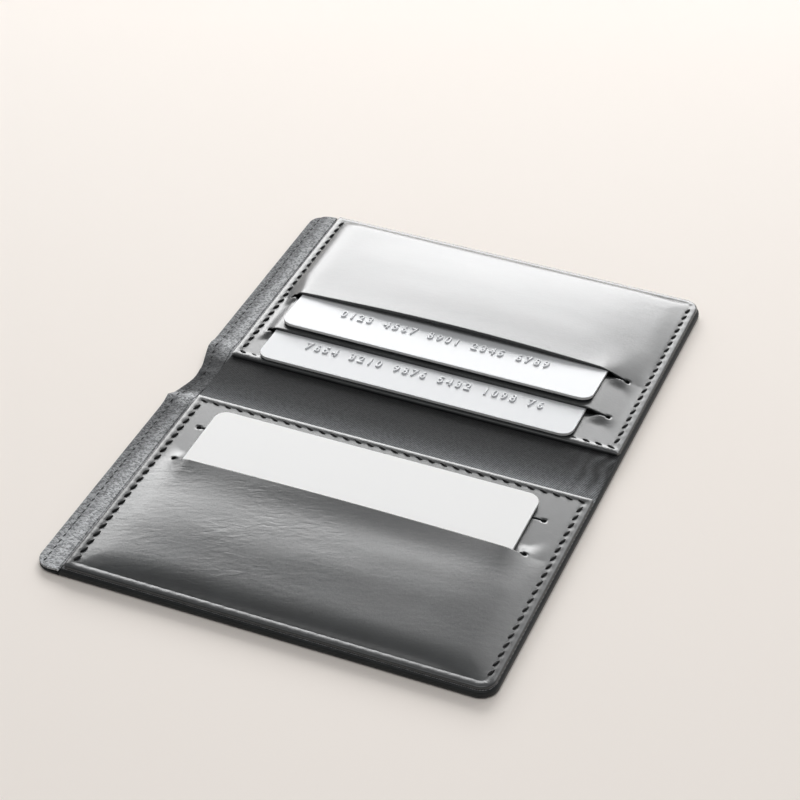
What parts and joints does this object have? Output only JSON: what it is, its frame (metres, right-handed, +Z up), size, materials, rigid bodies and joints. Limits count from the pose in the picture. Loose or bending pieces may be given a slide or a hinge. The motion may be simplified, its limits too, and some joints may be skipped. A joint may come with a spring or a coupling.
{
  "type": "signal blocking card in a card wallet",
  "caption": "Open bifold leather card wallet with slit pockets, holding a plain white signal blocking card and embossed payment cards.",
  "frame": {"origin": "on the surface the open wallet lies on, under the middle of its cover", "axes": "+X along the spine towards the sewn end, +Y from the near panel to the far panel, +Z up"},
  "size_m": [0.1138, 0.165, 0.0075],
  "materials": {
    "smooth_leather": "semi-gloss, fine wrinkle grain",
    "woven_lining": "fine twill",
    "bonded_board": "matte",
    "white_film": "matte",
    "core_plastic": "matte",
    "pale_film": "gloss",
    "etched_copper": "etched",
    "moulded_chip": "matte",
    "gold_plate": "plated",
    "magnetic_coat": "satin"
  },
  "bodies": {
    "near_half": {"cover_near": "smooth_leather", "cover_board_near": "bonded_board", "cover_lining_near": "woven_lining", "cover_hem_near": "woven_lining", "cover_turn_in_near": "smooth_leather", "note_divider_near": "woven_lining", "lower_slot_liner_near": "woven_lining", "upper_slot_liner_near": "woven_lining", "pocket_face_near": "smooth_leather"},
    "far_half": {"cover_far": "smooth_leather", "cover_board_far": "bonded_board", "cover_lining_far": "woven_lining", "cover_hem_far": "woven_lining", "cover_turn_in_far": "smooth_leather", "note_divider_far": "woven_lining", "lower_slot_liner_far": "woven_lining", "upper_slot_liner_far": "woven_lining", "pocket_face_far": "smooth_leather"},
    "blocking_card": {"blocking_card_back_overlay": "white_film", "blocking_card_back_core": "core_plastic", "blocking_card_inlay_sheet": "core_plastic", "blocking_card_antenna_coil": "etched_copper", "blocking_card_jamming_chip": "moulded_chip", "blocking_card_front_core": "core_plastic", "blocking_card_front_overlay": "white_film"},
    "upper_card": {"upper_card_back_overlay": "pale_film", "upper_card_magnetic_stripe": "magnetic_coat", "upper_card_core": "core_plastic", "upper_card_front_overlay": "pale_film", "upper_card_contact_plate": "gold_plate"},
    "lower_card": {"lower_card_back_overlay": "pale_film", "lower_card_magnetic_stripe": "magnetic_coat", "lower_card_core": "core_plastic", "lower_card_front_overlay": "pale_film", "lower_card_contact_plate": "gold_plate"}
  },
  "joints": [
    {"name": "spine_fold", "type": "hinge", "parent": "near_half", "child": "far_half", "pos_m": [0, 0, 0.0065], "axis": [1, 0, 0], "range_deg": [0, 180]},
    {"name": "blocking_card_slide", "type": "slide", "parent": "near_half", "child": "blocking_card", "axis": [0, -0.9999, -0.0147], "range_m": [-0.0145, 0.0046]},
    {"name": "upper_card_slide", "type": "slide", "parent": "far_half", "child": "upper_card", "axis": [0, 0.9992, -0.0389], "range_m": [-0.0241, 0]},
    {"name": "lower_card_slide", "type": "slide", "parent": "far_half", "child": "lower_card", "axis": [0, 0.9998, -0.0179], "range_m": [-0.0101, 0]}
  ]
}
